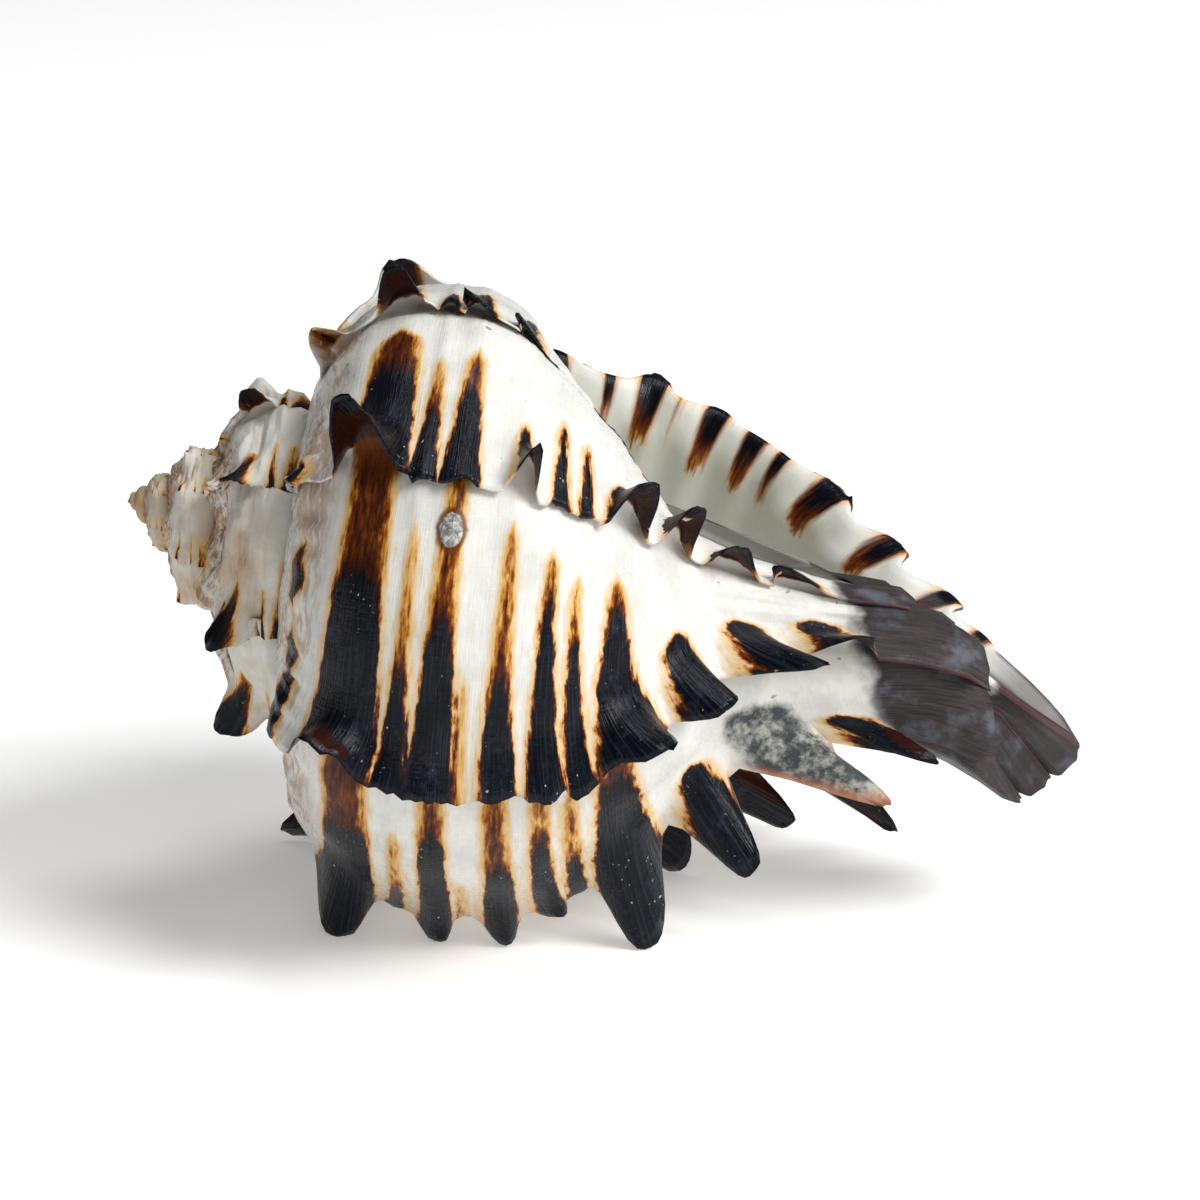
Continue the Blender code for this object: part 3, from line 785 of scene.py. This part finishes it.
def blackCore(read, colour, core):
    # Slate-grey threads on the black, partly a painted sheen, then bluish dust and white
    # specks
    colour = (core * read["threads"].step(0.46, 0.74) * 0.6).mix(colour, finish["slateAndSheen"])
    dust = (read["cloud"] * 0.6 + read["fine"] * 0.4).step(0.52, 0.68)
    colour = (core * dust * 0.8).mix(colour, finish["dust"])
    speck = read["specks"].step(0.71, 0.78) * read["speckField"].step(0.45, 0.65)
    return (speck * core * (1 - read["under"]) * 0.8).mix(colour, finish["worn"])


def canalScales(read, colour, onCanal):
    # Dark brown-grey canal scales with a painted blue-grey sheen in cloudy patches, and a
    # darker brown rim
    scale = read["streak"].step(0.25, 0.80).mix(finish["scaleDark"], finish["scale"])
    scale = (read["cloud"].step(0.5, 0.72) * 0.8).mix(scale, finish["scaleSheen"])
    scale = (read["edge"].step(0.6, 1.0) * 0.6).mix(scale, finish["scaleEdge"])
    return onCanal.mix(colour, scale)


def greySpine(read, colour):
    # One spine of the neck is worn to a mottled grey, with a rosy tip
    grey = read["mottling"].step(0.42, 0.68).mix(finish["greyDark"], finish["greyPale"])
    grey = (read["edge"].step(0.3, 0.9) * 0.8).mix(grey, finish["rosyTip"])
    shown = (read["mottle"] + (read["cloud"] - 0.5) * 0.9).step(0.25, 0.75)
    return shown.mix(colour, grey)


def scarPlate(read, colour):
    # A cracked silvery plate in a brown rim
    fine = read["fine"]
    plate = fine.step(0.35, 0.70).mix(finish["silverDark"], finish["silver"])
    plate = ((1 - read["cracks"].step(0.01, 0.07)) * 0.7).mix(plate, finish["crack"])
    rim = (read["scar"] + (fine - 0.5) * 0.3).step(-0.42, -0.10)
    colour = (rim * 0.85).mix(colour, finish["rust"])
    return (read["scar"] + (fine - 0.5) * 0.2).step(0.0, 0.08).mix(colour, plate)


def apertureInside(read, colour):
    # Greenish white, with marks at the lip that fade inwards
    stripe, arc, fringe, cloud = (read[name] for name in ("stripe", "arc", "fringe", "cloud"))
    mark = stripe + (fringe - 0.5) * 0.8 - arc * 0.10
    deep = 0.84 - arc * 0.13 + (fringe - 0.5) * 0.9 + (cloud - 0.5) * 0.4
    fade = mark.step(-0.7, 0.25) * deep.step(-0.05, 0.22)
    hollow = cloud.step(0.3, 0.7).mix(finish["hollow"], finish["white"])
    hollow = fade.mix(hollow, pigmentRamp(deep * mark.step(-0.8, 0.75)))
    hollow = (read["canalPart"] * 0.8).mix(hollow, finish["scale"])
    return read["inside"].step(0.2, 0.6).mix(colour, hollow)


def shellFinish():
    material = bpy.data.materials.new("bandedShell")
    material.use_nodes = True
    tree = material.node_tree
    surface = tree.nodes["Principled BSDF"]
    read = readSkin(tree)
    lines, fine, spire = read["lines"], read["fine"], read["spire"]

    banded, depth = bands(read)
    core = depth.step(0.5, 0.75)
    onCanal = (read["canalPart"] + (read["cloud"] - 0.5) * 0.5).step(0.35, 0.60)
    colour = banded.mix(whiteGround(read), pigmentRamp(depth))
    colour = blackCore(read, colour, core)
    pitted = read["pits"].step(0.76, 0.82) * (1 - banded)
    colour = (pitted * 0.6).mix(colour, finish["rust"])
    colour = canalScales(read, colour, onCanal)
    colour = greySpine(read, colour)
    colour = scarPlate(read, colour)
    beneath = (depth * 0.55).step(0.0, 0.5).mix(finish["beneath"], finish["beneathDark"])
    colour = (read["under"] * banded * (1 - onCanal)).mix(colour, beneath)
    colour = apertureInside(read, colour)
    tree.links.new(colour.socket, surface.inputs["Base Color"])

    rough = finish["roughness"] + spire * 0.25 + onCanal * 0.12 + (fine - 0.5) * 0.15
    rough = rough + ((lines - 0.5) * 0.12 - 0.05) * core
    tree.links.new(rough.socket, surface.inputs["Roughness"])
    height = (lines - 0.5) * (0.12 + core * 0.14 + onCanal * 0.35)
    height = height + (read["threads"] - 0.5) * (0.25 + core * 0.40)
    height = height + (fine - 0.5) * (0.06 + spire * 0.7 + core * 0.3)
    height = height + (read["cloud"] - 0.5) * 0.5
    height = height * (1 - read["inside"] * 0.75)
    bump = height.node("ShaderNodeBump", {}, {"Height": height, "Strength": finish["bump"],
                                              "Distance": finish["bumpDepth"]})
    tree.links.new(bump.socket, surface.inputs["Normal"])
    surface.inputs["Specular IOR Level"].default_value = finish["specular"]
    return material


piece = makeSkin()
piece.data.materials.append(shellFinish())
print("finish made")
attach(piece, "root")
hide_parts("murex_shell")

studio = {
    # A pale floor that glows a little, as an overexposed one does
    "floorSize": 6.0, "floor": (0.92, 0.92, 0.92), "floorGlow": 0.29, "floorRoughness": 0.9,
    "sky": 0.07, "skyColour": (1.0, 0.985, 0.97),
    "camera": (-0.0010, -0.4118, 0.1340), "pitch": 76.34, "lens": 112.5, "sensor": 36.0,
    # Softboxes: place, what they point at, size in metres, power and colour
    "lamps": [("key", (4.1, -2.2, 4.1), (0, 0, 0.03), 2.8, 365.0, (1.0, 1.0, 1.0)),
              ("top", (0.7, 0.2, 3.2), (0, 0, 0.03), 1.2, 30.0, (1.0, 1.0, 1.0)),
              ("front", (1.1, -2.4, 1.7), (0, 0, 0.03), 1.5, 13.0, (1.0, 0.96, 0.92))],
}


def makeFloor():
    mesh = bmesh.new()
    bmesh.ops.create_grid(mesh, x_segments=2, y_segments=2, size=studio["floorSize"])
    data = bpy.data.meshes.new("paleFloor")
    mesh.to_mesh(data)
    mesh.free()
    floor = bpy.data.objects.new("paleFloor", data)
    bpy.context.scene.collection.objects.link(floor)
    material = bpy.data.materials.new("palePaper")
    material.use_nodes = True
    surface = material.node_tree.nodes["Principled BSDF"]
    surface.inputs["Base Color"].default_value = (*studio["floor"], 1.0)
    surface.inputs["Roughness"].default_value = studio["floorRoughness"]
    surface.inputs["Emission Color"].default_value = (1, 1, 1, 1)
    surface.inputs["Emission Strength"].default_value = studio["floorGlow"]
    data.materials.append(material)


def makeLights():
    world = bpy.data.worlds.new("softStudio")
    world.use_nodes = True
    sky = world.node_tree.nodes["Background"]
    sky.inputs["Color"].default_value = (*studio["skyColour"], 1.0)
    sky.inputs["Strength"].default_value = studio["sky"]
    bpy.context.scene.world = world
    for name, place, target, size, power, colour in studio["lamps"]:
        lamp = bpy.data.lights.new(name, "AREA")
        lamp.shape = "SQUARE"
        lamp.size = size
        lamp.energy = power
        lamp.color = colour
        holder = bpy.data.objects.new(name, lamp)
        holder.location = place
        aim = Vector(target) - Vector(place)
        holder.rotation_euler = aim.to_track_quat("-Z", "Y").to_euler()
        bpy.context.scene.collection.objects.link(holder)


def makeCamera():
    lens = bpy.data.cameras.new("photoView")
    lens.lens = studio["lens"]
    lens.sensor_width = studio["sensor"]
    lens.clip_start, lens.clip_end = 0.01, 50.0
    camera = bpy.data.objects.new("photoView", lens)
    camera.location = studio["camera"]
    camera.rotation_euler = (math.radians(studio["pitch"]), 0.0, 0.0)
    bpy.context.scene.collection.objects.link(camera)
    bpy.context.scene.camera = camera
    bpy.context.scene.view_settings.view_transform = "Standard"


makeFloor()
makeLights()
makeCamera()
print("floor, lights and camera set")
